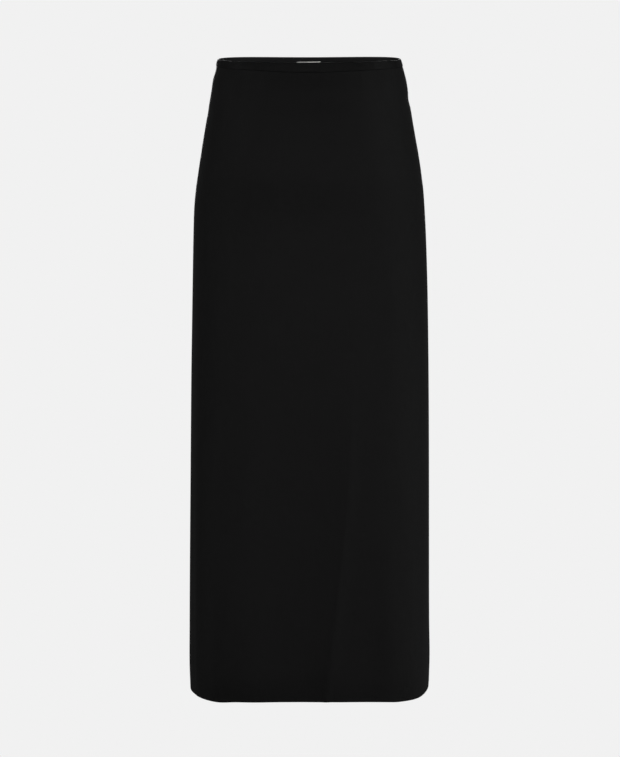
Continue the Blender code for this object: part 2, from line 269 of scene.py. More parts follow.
def ring_points(z):
    """The section at each height, as a closed ring that starts at -X and passes the front first."""
    angle = np.linspace(0.0, 2.0 * np.pi, RING_SAMPLES)
    across = -np.cos(angle)
    size = {name: section_size(name, z)[:, None] for name in SECTION_COLUMNS[1:]}
    in_front = np.sin(angle) >= 0.0
    half_width = np.where(across < 0.0, size["left"], size["right"])
    square = np.where(in_front, size["front_square"], size["back_square"])
    depth = np.where(in_front, -size["front"], size["back"])
    bulge = np.sqrt(np.clip(1.0 - np.abs(across) ** square, 0.0, None))
    return np.stack([across * half_width, depth * bulge], axis=-1)


def even_form():
    """The plain outer face as rings divided evenly, with their outward directions and lengths."""
    points, lengths = [], []
    for ring in ring_points(FORM_LEVELS):
        run = np.concatenate([[0.0], np.cumsum(np.linalg.norm(np.diff(ring, axis=0), axis=1))])
        stops = np.linspace(0.0, run[-1], RING_STOPS + 1)
        points.append(np.stack([np.interp(stops, run, ring[:, axis]) for axis in (0, 1)], axis=-1))
        lengths.append((run[RING_SAMPLES // 2], run[-1]))
    points = np.array(points)
    ring = points[:, :-1]
    along = np.roll(ring, -4, axis=1) - np.roll(ring, 4, axis=1)
    along = np.concatenate([along, along[:, :1]], axis=1)
    outward = np.stack([along[..., 1], -along[..., 0]], axis=-1)
    return points, outward / np.linalg.norm(outward, axis=-1, keepdims=True), np.array(lengths)


FORM_POINTS, FORM_OUTWARD, FORM_LENGTHS = even_form()


def run_round(z, share):
    """The distance along the cloth from the side at -X to each share of the way round."""
    front, whole = (np.interp(-z, -FORM_LEVELS, FORM_LENGTHS[:, column]) for column in (0, 1))
    in_front = share * 2 * front
    behind = front + (share - RIGHT_SIDE) * 2 * (whole - front)
    return np.where(share <= RIGHT_SIDE, in_front, behind), whole


def plain_wall(z, share, step):
    """Points and outward directions on the outer face, before its folds.

    share runs from 0 at the side seam at -X, through the front to 0.5 at the one at +X, and
    on through the back to 1. step is a further distance along the cloth.
    """
    swing = SEAM_SWING * smooth_step((SEAM_SWING_START_Z - z) / (SEAM_SWING_START_Z - HEM_Z))
    run, whole = run_round(z, share)
    level = (FORM_LEVELS[0] - z) / (FORM_LEVELS[0] - HEM_Z) * (len(FORM_LEVELS) - 1)
    level = np.clip(level, 0.0, len(FORM_LEVELS) - 1.001)
    stop = np.mod((run + swing + step) / whole, 1.0) * RING_STOPS
    row, column = level.astype(int), np.minimum(stop.astype(int), RING_STOPS - 1)
    down, along = (level - row)[:, None], (stop - column)[:, None]
    found = []
    for grid in (FORM_POINTS, FORM_OUTWARD):
        upper = grid[row, column] * (1 - along) + grid[row, column + 1] * along
        lower = grid[row + 1, column] * (1 - along) + grid[row + 1, column + 1] * along
        found.append(upper * (1 - down) + lower * down)
    points, outward = found
    return points, outward / np.linalg.norm(outward, axis=1, keepdims=True)


def on_face(face, points, outward):
    """Each point's offset along a face, and 1 where the wall faces that way, fading beside it."""
    offset = points[:, 0] if face in ("front", "back") else points[:, 1]
    return offset, smooth_step(1.5 * outward @ np.array(FACE_DIRECTIONS[face]))


def hump(value):
    """1 at 0, falling smoothly away on both sides."""
    return np.exp(-(value**2))


def fold_lift(points, outward, z, share):
    """How far the folds, creases and waves move the wall outwards."""
    lift = np.zeros(len(z))
    for face, top, offsets, height, half_widths, hem_share in FOLDS + FINE_FOLDS:
        offset, facing = on_face(face, points, outward)
        down = np.clip((top - z) / (top - HEM_Z), 0.0, 1.0)
        stops = np.linspace(0.0, 1.0, len(offsets))
        path = np.polyval(np.polyfit(stops, offsets, len(stops) - 1), down)
        growth = smooth_step(2.2 * down) * (1 - (1 - hem_share) * smooth_step(2.5 * down - 1.5))
        away = (offset - path) / np.where(offset < path, *half_widths)
        lift += facing * height * growth * hump(away)
    for face, place, level, height, half_height, half_length, slope in CREASES + FINE_CREASES:
        offset, facing = on_face(face, points, outward)
        run = offset - place
        rise = z - level - slope * run
        lift += facing * height * hump(np.hypot(run / half_length, rise / half_height))
    for level, reach, waves_round, height, turn in WAVES:
        wave = np.sin(2 * np.pi * waves_round * share + turn)
        lift += height * wave * hump((z - level) / reach)
    return lift


def wall_points(z, share, step, outset):
    """A grid of points on the wall, outset from the cloth's outer face."""
    grids = np.broadcast_arrays(z, share, step, outset)
    shape = grids[0].shape
    z, share, step, outset = (grid.ravel() for grid in grids)
    points, outward = plain_wall(z, share, step)
    points = points + outward * (fold_lift(points, outward, z, share) + outset)[:, None]
    return np.column_stack([points, z]).reshape(shape + (3,))


def hem_sag(z, share, step):
    """How far the hem's sag lowers a point at each height and column."""
    points, outward = plain_wall(np.full(share.shape, HEM_Z), share, step)
    offset, facing = on_face("front", points, outward)
    sag = sum(drop * hump((offset - place) / half_width) for place, drop, half_width in HEM_SAGS)
    return facing * sag * smooth_step((HEM_SAG_TOP_Z - z) / (HEM_SAG_TOP_Z - HEM_Z))


def nearness(share, place):
    """1 at this place round the waist, falling to 0 opposite it."""
    return 0.5 * (1.0 + np.cos(2.0 * np.pi * (share - place)))


def band_top(share):
    dip = BAND_TOP_DIP * nearness(share, CENTRE_FRONT) ** BAND_TOP_DIP_POWER
    back = np.clip(2 * nearness(share, CENTRE_BACK) - 1, 0.0, 1.0)
    arch = BAND_BACK_ARCH * back - BAND_BACK_DIP * back**2
    return BAND_TOP_Z - dip + arch + BAND_TOP_RISE * nearness(share, RIGHT_SIDE) ** 4


def band_seam_dip(share):
    return -BAND_SEAM_DIP * nearness(share, CENTRE_FRONT) ** BAND_SEAM_DIP_POWER


def new_object(name, mesh):
    piece = bpy.data.objects.new(name, mesh)
    bpy.context.scene.collection.objects.link(piece)
    return piece


def close_wall(name, outer, inner, run, material, lining=None):
    """One closed body between two grids of points. Row 0 is the top, and columns run as shares do.

    run gives each point's place along and down the cloth, in metres, for the weave. lining is
    the material of the inner face, where it differs.
    """
    rows, columns = outer.shape[:2]
    index = np.arange(rows * columns).reshape(rows, columns)
    under = index + rows * columns

    def strip(a, b, c, d):
        return np.stack([a.ravel(), b.ravel(), c.ravel(), d.ravel()], axis=1)

    faces = [
        strip(index[:-1, :-1], index[1:, :-1], index[1:, 1:], index[:-1, 1:]),
        strip(under[:-1, :-1], under[:-1, 1:], under[1:, 1:], under[1:, :-1]),
        strip(index[:-1, 0], under[:-1, 0], under[1:, 0], index[1:, 0]),
        strip(index[:-1, -1], index[1:, -1], under[1:, -1], under[:-1, -1]),
        strip(index[0, :-1], index[0, 1:], under[0, 1:], under[0, :-1]),
        strip(index[-1, :-1], under[-1, :-1], under[-1, 1:], index[-1, 1:]),
    ]
    mesh = bpy.data.meshes.new(name)
    points = np.vstack([outer.reshape(-1, 3), inner.reshape(-1, 3)])
    mesh.from_pydata(points.tolist(), [], np.vstack(faces).tolist())
    corners = np.empty(len(mesh.loops), np.int32)
    mesh.loops.foreach_get("vertex_index", corners)
    both_sides = np.tile(run.reshape(-1, 2), (2, 1))
    weave = mesh.uv_layers.new(name="weave")
    weave.uv.foreach_set("vector", both_sides[corners].astype(np.float32).ravel())
    mesh.materials.append(material)
    if lining is not None:
        mesh.materials.append(lining)
        slots = np.zeros(len(mesh.polygons), np.int32)
        slots[len(faces[0]) : 2 * len(faces[0])] = 1
        mesh.polygons.foreach_set("material_index", slots)
    mesh.shade_smooth()
    mesh.set_sharp_from_angle(angle=math.radians(50))
    return new_object(name, mesh)


def chosen():
    """The sizes and colours that are set in the sidebar."""
    return bpy.context.scene.skirt


def rolled_edge(radius):
    """How far behind its line, and how far in, the points of a rolled edge lie."""
    return radius * (1 - np.cos(ROLL_ANGLES)), -radius * (1 - np.sin(ROLL_ANGLES))


def seam_columns(start):
    """Shares, steps and outsets of the columns across one half, with its two seam edges rolled in."""
    skirt = chosen()
    middle = np.linspace(0.0, 1.0, int(0.5 * WAY_ROUND / skirt.cloth.column_gap) + 1)[1:-1]
    behind, inwards = rolled_edge(skirt.sewing.roll_radius)
    behind = behind + SEAM_CLEARANCE
    share = start + 0.5 * np.concatenate([0 * behind, middle, 0 * behind + 1])
    step = np.concatenate([behind, 0 * middle, -behind[::-1]])
    return share, step, np.concatenate([inwards, 0 * middle, inwards[::-1]])


def side_bulk(share, step):
    """The room that a side seam's allowance takes under the cloth, falling to 0 beside it."""
    sewing = chosen().sewing
    away = np.full(share.shape, np.inf)
    for seam in (0.0, RIGHT_SIDE, 1.0):
        away = np.minimum(away, np.abs((share - seam) * WAY_ROUND + step))
    width = sewing.allowance_width
    return sewing.side_allowance_thickness * smooth_step((BULK_REACH * width - away) / width)


# Node trees.


def put(tree, target, value):
    """Links a socket to this input, or sets the input's own value."""
    if isinstance(value, bpy.types.NodeSocket):
        tree.links.new(value, target)
    else:
        target.default_value = value


def add_node(tree, kind, inputs=None, **settings):
    """A node with these settings, and with these sockets or values on its inputs."""
    node = tree.nodes.new(kind)
    for name, value in settings.items():
        setattr(node, name, value)
    for name, value in (inputs or {}).items():
        put(tree, node.inputs[name], value)
    return node


def output_of(tree, kind, inputs=None, **settings):
    """The first output of a new node."""
    return add_node(tree, kind, inputs, **settings).outputs[0]


def value_of(tree, operation, *values):
    return output_of(tree, "ShaderNodeMath", dict(enumerate(values)), operation=operation)


def vector_of(tree, **parts):
    return output_of(tree, "ShaderNodeCombineXYZ", parts)


def noise(tree, place, scale, detail=2.0, roughness=0.5):
    inputs = {"Vector": place, "Scale": scale, "Detail": detail, "Roughness": roughness}
    return output_of(tree, "ShaderNodeTexNoise", inputs)


def ribs(tree, place, width):
    """Even ribs of this width, from 0 in their grooves to 1 on their crests."""
    angle = value_of(tree, "MULTIPLY", place, 2 * math.pi / width)
    return value_of(tree, "MULTIPLY_ADD", value_of(tree, "SINE", angle), 0.5, 0.5)


def stretched(tree, place, scale):
    return output_of(tree, "ShaderNodeMapping", {"Vector": place, "Scale": scale})


def between(tree, share, low, high):
    """A number from low to high as share goes from 0 to 1."""
    return output_of(tree, "ShaderNodeMapRange", {"Value": share, "To Min": low, "To Max": high})


def two_colours(tree, share, dark, light):
    inputs = {"Factor": share, "A": (*dark, 1.0), "B": (*light, 1.0)}
    return add_node(tree, "ShaderNodeMix", inputs, data_type="RGBA").outputs["Result"]


def bump(tree, height, depth, below=None):
    """Relief of this depth, on top of the relief below."""
    inputs = {"Distance": depth, "Height": height, **({"Normal": below} if below else {})}
    return output_of(tree, "ShaderNodeBump", inputs)


# Materials.


def weave_run(tree):
    """The place on the cloth in metres, and its parts along and down the cloth."""
    run = output_of(tree, "ShaderNodeUVMap", uv_map="weave")
    parts = add_node(tree, "ShaderNodeSeparateXYZ", {0: run}).outputs
    return run, parts["X"], parts["Y"]


def black_crepe(tree, turned=False, painted_shade_factor=1.0):
    """Matte black stretch crepe: fine upright wales, pebbled yarn, and long faint streaks."""
    cloth = chosen().cloth
    run, across, down = weave_run(tree)
    upright = (1.0, STREAK_STRETCH, 1.0)
    if turned:
        across, down = down, across
        upright = (STREAK_STRETCH, 1.0, 1.0)
    wander = value_of(tree, "MULTIPLY", noise(tree, run, WANDER_SCALE), cloth.wale_width * WANDER)
    wales = ribs(tree, value_of(tree, "ADD", across, wander), cloth.wale_width)
    courses = ribs(tree, down, cloth.wale_width * COURSE_WIDTH)
    knit = value_of(tree, "MULTIPLY_ADD", courses, COURSE_SHARE, wales)
    pebbles = noise(tree, run, PEBBLE_SCALE, 2.0, 0.6)
    streaks = noise(tree, stretched(tree, run, upright), STREAK_SCALE, 3.0, 0.65)
    clouds = noise(tree, run, CLOUD_SCALE, 3.0, 0.55)
    tone = value_of(tree, "MULTIPLY", clouds, 1 - STREAK_SHARE)
    tone = value_of(tree, "MULTIPLY_ADD", streaks, STREAK_SHARE, tone)
    tone = value_of(tree, "MULTIPLY_ADD", value_of(tree, "SUBTRACT", knit, 0.6), 0.10, tone)
    tone = between(tree, tone, -0.5, 1.5)
    # A factor under 1 here darkens the colour and dims the gloss, which is painted shade.
    colour, spread = np.array(cloth.colour) * painted_shade_factor, cloth.colour_spread
    colours = two_colours(tree, tone, colour * (1 - spread), colour * (1 + spread))
    relief = bump(tree, pebbles, PEBBLE_DEPTH, bump(tree, streaks, STREAK_DEPTH))
    relief = bump(tree, knit, KNIT_DEPTH, relief)
    return colours, between(tree, pebbles, 0.46, 0.58), cloth.gloss * painted_shade_factor, relief


def black_band_crepe_painted_shade(tree):
    """The same crepe with its wales along the band, and a little darker. This is a painted shade, one
    twentieth off its colour and gloss.
    """
    return black_crepe(tree, turned=True, painted_shade_factor=0.95)


def band_inside_painted_light(tree):
    """The waistband's inside: fibres over fine ribs, duller than the crepe, and painted paler than it as
    painted light.
    """
    run, across, _ = weave_run(tree)
    upright_ribs = ribs(tree, across, ELASTIC_RIB_WIDTH)
    fibres = noise(tree, run, BRUSHED_FIBRE_SCALE, 3.0, 0.6)
    tone = value_of(tree, "MULTIPLY_ADD", upright_ribs, 0.3, value_of(tree, "MULTIPLY", fibres, 0.7))
    # The inside colour is about ten times the crepe's. This is painted light, standing in for the light
    # that barely reaches inside the band.
    colour = np.array(chosen().band.inside_painted_light_colour)
    colours = two_colours(tree, tone, colour * 0.7, colour * 1.3)
    relief = bump(tree, upright_ribs, RIB_DEPTH, bump(tree, fibres, RIB_DEPTH))
    return colours, between(tree, fibres, 0.7, 0.85), 0.15, relief


def black_thread(tree):
    """Spun black sewing thread, a little glossier than the cloth."""
    place = add_node(tree, "ShaderNodeTexCoord").outputs["Object"]
    fibres = noise(tree, place, THREAD_FIBRE_SCALE, 2.0, 0.6)
    colour = np.array(chosen().cloth.colour)
    colours = two_colours(tree, fibres, colour * 0.9, colour * 2.2)
    return colours, between(tree, fibres, 0.5, 0.7), 0.2, bump(tree, fibres, YARN_DEPTH)


def cream_woven_tape(tree):
    """Cream satin label tape: fine cross ribs, slightly uneven, with a soft sheen."""
    run, _, down = weave_run(tree)
    yarns = noise(tree, stretched(tree, run, (0.2, 1.0, 1.0)), TAPE_YARN_SCALE, 2.0, 0.6)
    colour = np.array(chosen().label.colour)
    colours = two_colours(tree, yarns, colour * 0.9, np.minimum(colour * 1.06, 1.0))
    relief = bump(tree, ribs(tree, down, TAPE_RIB_WIDTH), RIB_DEPTH, bump(tree, yarns, YARN_DEPTH))
    return colours, between(tree, yarns, 0.5, 0.65), 0.4, relief, 0.3


def made_of(surface):
    """The material that one of the functions above describes, made when a piece first asks for it."""
    material = bpy.data.materials.get(surface.__name__)
    if material is None:
        material = bpy.data.materials.new(surface.__name__)
        material.use_nodes = True
        tree = material.node_tree
        for name, value in zip(SURFACE_INPUTS, surface(tree)):
            put(tree, tree.nodes["Principled BSDF"].inputs[name], value)
    return material


def pale_studio():
    """An even, shadowless pale grey, as paper lit by itself."""
    material = bpy.data.materials.new("pale_studio_paper")
    material.use_nodes = True
    tree = material.node_tree
    tree.nodes.remove(tree.nodes["Principled BSDF"])
    glow = output_of(tree, "ShaderNodeEmission", {"Color": (*chosen().studio.paper, 1.0)})
    put(tree, tree.nodes["Material Output"].inputs["Surface"], glow)
    return material


# Cloth pieces.


def weave_grid(along, down):
    """Each point's place along and down the cloth."""
    return np.stack(np.broadcast_arrays(along, down), axis=-1)


def panel_rows():
    """Levels and outsets of both faces of the cloth, from the waist seam down and up round the hem.

    The last result is the share of a side allowance's bulk that each row makes room for.
    """
    skirt = chosen()
    cloth, hem, radius = skirt.cloth.thickness, skirt.cloth.hem_thickness, skirt.sewing.roll_radius
    behind, inwards = rolled_edge(radius)
    fold = hem / 2
    top, end = BAND_SEAM_Z - SEAM_CLEARANCE, HEM_Z + fold + 0.002
    near_waist = np.linspace(top - 2 * radius, NEAR_WAIST_Z, 20)
    below = np.linspace(NEAR_WAIST_Z, end, int((NEAR_WAIST_Z - end) / skirt.cloth.row_gap))[1:]
    flat = np.concatenate([near_waist, below])
    turned_up = np.linspace(HEM_Z + fold, HEM_Z + skirt.cloth.hem_depth, 9)[1:]
    faces = []
    for inset, roll in ((0.0, inwards), (cloth, 0 * inwards)):
        arc = (fold - inset) * np.cos(HEM_FOLD_ANGLES) - fold
        arc_z = HEM_Z + fold - (fold - inset) * np.sin(HEM_FOLD_ANGLES)
        levels = np.concatenate([top - behind, flat, arc_z, turned_up])
        outsets = np.concatenate([roll - inset, 0 * flat - inset, arc, 0 * turned_up + inset - hem])
        faces.append((levels[:, None], outsets[:, None]))
    room = HEM_ROOM + (1 - HEM_ROOM) * smooth_step((turned_up - turned_up[0]) / HEM_ROOM_RISE)
    hanging = np.zeros(len(behind) + len(flat))
    room = np.concatenate([hanging, np.linspace(0, HEM_ROOM, len(arc)), room])
    return faces, room[:, None]


def make_panel(name, start):
    """Half of the skirt from the waist seam to the hem, which is turned up inside."""
    share, step, rolled = seam_columns(start)
    rows, room = panel_rows()
    outer_levels, outer_outsets = rows[0]
    dip = smooth_step(1 + (outer_levels - BAND_SEAM_Z) / SEAM_DIP_REACH) * band_seam_dip(share)
    bulk = room * side_bulk(share, step)
    edges = rolled * (room == 0)
    faces = []
    for levels, outsets in rows:
        z = levels + dip - hem_sag(levels, share, step)
        faces.append(wall_points(z, share, step, np.minimum(outsets, edges) - bulk))
    lengths = np.hypot(np.diff(outer_levels[:, 0]), np.diff(outer_outsets[:, 0]))
    down = np.concatenate([[0.0], np.cumsum(lengths)])[:, None]
    run = weave_grid(run_round(HEM_Z, share)[0] + step, down)
    return close_wall(name, *faces, run, made_of(black_crepe))


def make_waistband(name, start):
    """Half of the waistband: cloth folded over elastic, a little puffed, and rolled in at its seam."""
    skirt = chosen()
    band = skirt.band
    share, step, rolled = seam_columns(start)
    half = band.thickness / 2
    over, under = BAND_FOLD_ANGLES[:, None], ROLL_ANGLES[::-1, None]
    drop, reach = half * (1 - np.cos(over)), half * np.sin(over) - half
    body = np.linspace(0.0, 1.0, 10)[1:-1, None]
    puff = band.puff * 4 * body * (1 - body)
    top, seam = band_top(share), BAND_SEAM_Z + SEAM_CLEARANCE + band_seam_dip(share)
    faces = []
    for radius, hang in ((band.proud, band.lip), (skirt.sewing.roll_radius, 0.0)):
        upper, lower = top - half, seam - hang + radius
        rows = [top - drop, upper + (lower - upper) * body, lower - radius * np.cos(under)]
        profile = np.concatenate([reach, puff, radius * (np.sin(under) - 1)])
        faces.append((np.vstack(rows), profile))
    (outer_z, outer_profile), (inner_z, inner_profile) = faces
    edge = rolled + np.concatenate([0 * over, puff, 0 * under])
    outer = wall_points(outer_z, share, step, band.proud + np.minimum(outer_profile, edge))
    inner = wall_points(inner_z, share, step, band.proud - band.thickness - inner_profile)
    run = weave_grid(run_round(BAND_SEAM_Z, share)[0] + step, -outer_z)
    # The inner faces take the paler material, which is painted light inside the band.
    return close_wall(name, outer, inner, run, made_of(black_band_crepe_painted_shade), made_of(band_inside_painted_light))


def label_level(down, step):
    """The height of a point on the label."""
    label = chosen().label
    return BAND_TOP_Z - label.drop - down * label.height - label.slope * step


def label_back(down, bow=1.0):
    """The outset of the label's back, which curls away from the band towards its lower edge."""
    band = chosen().band
    curl = LABEL_CURL * smooth_step((down - LABEL_CURL_START) / (1 - LABEL_CURL_START)) * bow
    return band.proud - band.thickness - LABEL_GAP - curl


def make_label(name):
    """A small blank woven tag, its two ends turned under, a little off level."""
    label = chosen().label
    across = np.linspace(-0.5, 0.5, 46)
    down = np.linspace(0.0, 1.0, 21)[:, None]
    step = label.offset - across * label.width
    turned = smooth_step((np.abs(across) - 0.5 + LABEL_TURN) / 0.02)
    thickness = label.thickness * (LABEL_SINGLE + (1 - LABEL_SINGLE) * turned)
    back = label_back(down, 0.6 + 0.4 * np.cos(7.0 * across + 0.5))
    edge = np.minimum(np.minimum(down, 1 - down) * label.height, (0.5 - np.abs(across)) * label.width)
    rounded = LABEL_ROUNDING * (1 - smooth_step(edge / LABEL_EDGE))
    z = label_level(down, step)
    outer = wall_points(z, CENTRE_BACK, step, back - thickness + rounded)
    inner = wall_points(z, CENTRE_BACK, step, back - rounded)
    run = weave_grid(across * label.width, down * label.height)
    return close_wall(name, outer, inner, run, made_of(cream_woven_tape))


def make_strip(name, z, share, step, along, bulk, thickness, rounded):
    """A strip of crepe pressed flat inside the wall, over this bulk, with rounded edges."""
    near = -chosen().cloth.thickness - LAYER_GAP - bulk
    against_cloth = wall_points(z, share, step, near - rounded)
    facing_in = wall_points(z, share, step, near - thickness + rounded)
    return close_wall(name, against_cloth, facing_in, weave_grid(along, -z), made_of(black_crepe))


def make_side_allowance(name, seam, towards_back):
    """The joined seam allowance of one side, pressed towards the back, from the waist into the hem."""
    skirt = chosen()
    sewing = skirt.sewing
    step = np.sort(towards_back * np.linspace(-ALLOWANCE_LAP, sewing.allowance_width, 12))
    z = np.arange(BAND_SEAM_Z - SIDE_TOP_GAP, HEM_Z + SIDE_END_RISE, -skirt.cloth.row_gap)[:, None]
    edge = 0.5 - np.abs(np.linspace(-0.5, 0.5, len(step)))
    rounded = SIDE_ROUNDING * (1 - smooth_step(edge / 0.12))
    thickness = sewing.side_allowance_thickness - 2 * LAYER_GAP
    return make_strip(name, z, seam, step, step, 0.0, thickness, rounded)


def make_waist_allowance(name, start):
    """The joined seam allowance below half of the waistband, pressed down inside."""
    sewing = chosen().sewing
    share, step, _ = seam_columns(start)
    down = np.linspace(0.0, 1.0, 7)[:, None]
    seam = BAND_SEAM_Z - SEAM_CLEARANCE + band_seam_dip(share)
    z = seam - down * (sewing.waist_allowance_depth + WAIST_ROLL)
    rounded = WAIST_ROUNDING * (np.abs(2 * down - 1) > 0.9)
    along = run_round(BAND_SEAM_Z, share)[0] + step
    bulk, thickness = side_bulk(share, step), sewing.waist_allowance_thickness
    return make_strip(name, z, share, step, along, bulk, thickness, rounded)


# Thread.


def thread_row_tree():
    """A row of short arched stitches along a path, whose points say which way the cloth faces."""
    tree = bpy.data.node_groups.new("thread_row", "GeometryNodeTree")
    tree.is_modifier = True
    sizes = ("Spacing", "Stitch Length", "Arch", "Thread Radius", "Turn", "Unevenness")
    kinds = {"Path": "Geometry", **dict.fromkeys(sizes, "Float"), "Seed": "Int", "Thread": "Material"}
    for name, kind in kinds.items():
        tree.interface.new_socket(name, in_out="INPUT", socket_type="NodeSocket" + kind)
    tree.interface.new_socket("Stitches", in_out="OUTPUT", socket_type="NodeSocketGeometry")
    given = add_node(tree, "NodeGroupInput").outputs

    def new(kind, inputs=None, **settings):
        return output_of(tree, kind, inputs, **settings)

    path = new("GeometryNodeMeshToCurve", {"Mesh": given["Path"]})
    spacing = {"Curve": path, "Length": given["Spacing"]}
    spaced = new("GeometryNodeResampleCurve", spacing, mode="LENGTH")
    half = value_of(tree, "MULTIPLY", given["Stitch Length"], 0.5)
    arc = {
        "Resolution": 4,
        "Start": vector_of(tree, X=value_of(tree, "MULTIPLY", half, -1.0)),
        "Middle": vector_of(tree, Z=value_of(tree, "MULTIPLY", given["Arch"], 2.0)),
        "End": vector_of(tree, X=half),
    }
    stitch = new("GeometryNodeCurveQuadraticBezier", arc)
    circle = {"Resolution": 5, "Radius": given["Thread Radius"]}
    section = new("GeometryNodeCurvePrimitiveCircle", circle)
    tube = {"Curve": stitch, "Profile Curve": section, "Fill Caps": True}
    body = new("GeometryNodeCurveToMesh", tube)

    tangent = {"Vector": new("GeometryNodeInputTangent")}
    along = new("FunctionNodeAlignRotationToVector", tangent, axis="X")
    facing = new("GeometryNodeInputNamedAttribute", {"Name": "facing"}, data_type="FLOAT_VECTOR")
    standing = {"Rotation": along, "Vector": facing}
    upright = new("FunctionNodeAlignRotationToVector", standing, axis="Z", pivot_axis="X")
    least, most = value_of(tree, "MULTIPLY", given["Unevenness"], -1.0), given["Unevenness"]
    limits = {2: least, 3: most, "Seed": given["Seed"]}
    chance = add_node(tree, "FunctionNodeRandomValue", limits, data_type="FLOAT").outputs[1]
    turn = vector_of(tree, Z=value_of(tree, "ADD", given["Turn"], chance))
    turning = {"Rotation": upright, "Rotate By": turn}
    turned = new("FunctionNodeRotateRotation", turning, rotation_space="LOCAL")

    row = {"Points": spaced, "Instance": body, "Rotation": turned}
    real = new("GeometryNodeRealizeInstances", {0: new("GeometryNodeInstanceOnPoints", row)})
    smooth = new("GeometryNodeSetShadeSmooth", {0: real})
    finish = new("GeometryNodeSetMaterial", {"Geometry": smooth, "Material": given["Thread"]})
    add_node(tree, "NodeGroupOutput", {0: finish})
    return tree


def wall_path(z, share, step, outset):
    """A path inside the wall, and the way in from the cloth at each of its points."""
    points = wall_points(z, share, step, outset)
    outside = wall_points(z, share, step, outset + FACING_PROBE)
    return points, (points - outside) / FACING_PROBE


def make_stitches(name, paths, spacing, length, arch, turn=0.0, seed_step=0):
    """One plain mesh of the stitches along these paths."""
    sewing = chosen().sewing
    points, facings = (np.vstack(part) for part in zip(*paths))
    path_ends = np.cumsum([len(path) for path, _ in paths]) - 1
    steps = np.delete(np.arange(len(points)), path_ends)
    mesh = bpy.data.meshes.new(name + "_path")
    mesh.from_pydata(points.tolist(), np.column_stack([steps, steps + 1]).tolist(), [])
    facing = mesh.attributes.new("facing", "FLOAT_VECTOR", "POINT")
    facing.data.foreach_set("vector", facings.astype(np.float32).ravel())
    guide = new_object(name + "_path", mesh)
    tree = bpy.data.node_groups.get("thread_row") or thread_row_tree()
    row = guide.modifiers.new("thread_row", "NODES")
    row.node_group = tree
    inputs = {
        "Spacing": spacing,
        "Stitch Length": length,
        "Arch": arch,
        "Thread Radius": sewing.thread_radius,
        "Turn": turn,
        "Unevenness": STITCH_UNEVENNESS,
        "Seed": sewing.seed + seed_step,
        "Thread": made_of(black_thread),
    }
    for socket in tree.interface.items_tree:
        if socket.name in inputs:
            row[socket.identifier] = inputs[socket.name]
    graph = bpy.context.evaluated_depsgraph_get()
    made = bpy.data.meshes.new_from_object(guide.evaluated_get(graph), depsgraph=graph)
    made.name = name
    bpy.data.objects.remove(guide, do_unlink=True)
    if not made.polygons:
        raise RuntimeError(name + " came out empty")
    return new_object(name, made)


def hem_path(share, height, outset):
    """A path along the inside of the hem, at this height above its level."""
    z = HEM_Z + height
    return wall_path(z - hem_sag(z, share, 0.0), share, 0.0, outset)


def raw_edge_paths():
    """The overlocked edges: the hem's inside edge, the waist allowance and both side allowances."""
    skirt = chosen()
    cloth, sewing = skirt.cloth, skirt.sewing
    half_width, thread = sewing.overlock_width / 2, sewing.thread_radius
    paths = []
    for _, start in HALVES:
        share = start + np.linspace(0.004, 0.496, 220)
        bulk = side_bulk(share, 0.0)
        outset = -cloth.hem_thickness - bulk - thread
        paths.append(hem_path(share, cloth.hem_depth - half_width, outset))
        waist_edge = BAND_SEAM_Z - WAIST_ROLL - sewing.waist_allowance_depth + half_width
        inset = cloth.thickness + LAYER_GAP + bulk + sewing.waist_allowance_thickness + thread
        paths.append(wall_path(waist_edge + band_seam_dip(share), share, 0.0, -inset))
    z = np.arange(BAND_SEAM_Z - 0.009, HEM_Z + cloth.hem_depth + 0.001, -0.004)
    inset = cloth.thickness + sewing.side_allowance_thickness - LAYER_GAP + thread
    for _, seam, towards_back in SIDE_SEAMS:
        step = towards_back * (sewing.allowance_width - half_width)
        paths.append(wall_path(z, seam, step, -inset))
    return paths


def hem_stitch_paths():
    """Where the blind stitches catch the hem's inside edge."""
    cloth = chosen().cloth
    height, outset = cloth.hem_depth + HEM_CATCH_RISE, HEM_CATCH_DEPTH - cloth.hem_thickness
    return [hem_path(start + np.linspace(0.03, 0.47, 200), height, outset) for _, start in HALVES]


def label_stitch_paths():
    """Down both turned ends of the label."""
    label = chosen().label
    down = np.linspace(0.04, 0.96, 12)
    paths = []
    for side in (-1, 1):
        step = label.offset + side * (0.5 * label.width - LABEL_STITCH_INSET)
        outset = label_back(down) - label.thickness
        paths.append(wall_path(label_level(down, step), CENTRE_BACK, step, outset))
    return paths


# The studio.


def add_softbox(name, turn, height, size, power):
    """A softbox that faces the middle of the skirt, turned from its front towards +X, in degrees."""
    turn, height = math.radians(turn), math.radians(height)
    level = math.cos(height)
    away = Vector((math.sin(turn) * level, -math.cos(turn) * level, math.sin(height)))
    light = bpy.data.lights.new(name + "_softbox", "AREA")
    light.shape = "RECTANGLE"
    light.size, light.size_y = size
    light.energy = power
    lamp = new_object(light.name, light)
    lamp.location = Vector(SKIRT_MIDDLE) + away * SOFTBOX_DISTANCE
    lamp.rotation_euler = away.to_track_quat("Z", "Y").to_euler()


def add_stage_piece(name, rings, material):
    """A turned surface through these rings, given as radius and height, that only the camera sees."""
    angle = np.linspace(0.0, 2 * np.pi, STAGE_TURNS, endpoint=False)
    points = [(r * np.cos(a), r * np.sin(a), z) for r, z in rings for a in angle]
    faces = [tuple(range(STAGE_TURNS))]
    for low in range(0, (len(rings) - 1) * STAGE_TURNS, STAGE_TURNS):
        high = low + STAGE_TURNS
        for turn in range(STAGE_TURNS):
            after = (turn + 1) % STAGE_TURNS
            faces.append((low + turn, low + after, high + after, high + turn))
    mesh = bpy.data.meshes.new(name)
    mesh.from_pydata(points, [], faces)
    mesh.materials.append(material)
    piece = new_object(name, mesh)
    for ray in ("diffuse", "glossy", "transmission", "shadow"):
        setattr(piece, "visible_" + ray, False)


# Settings.


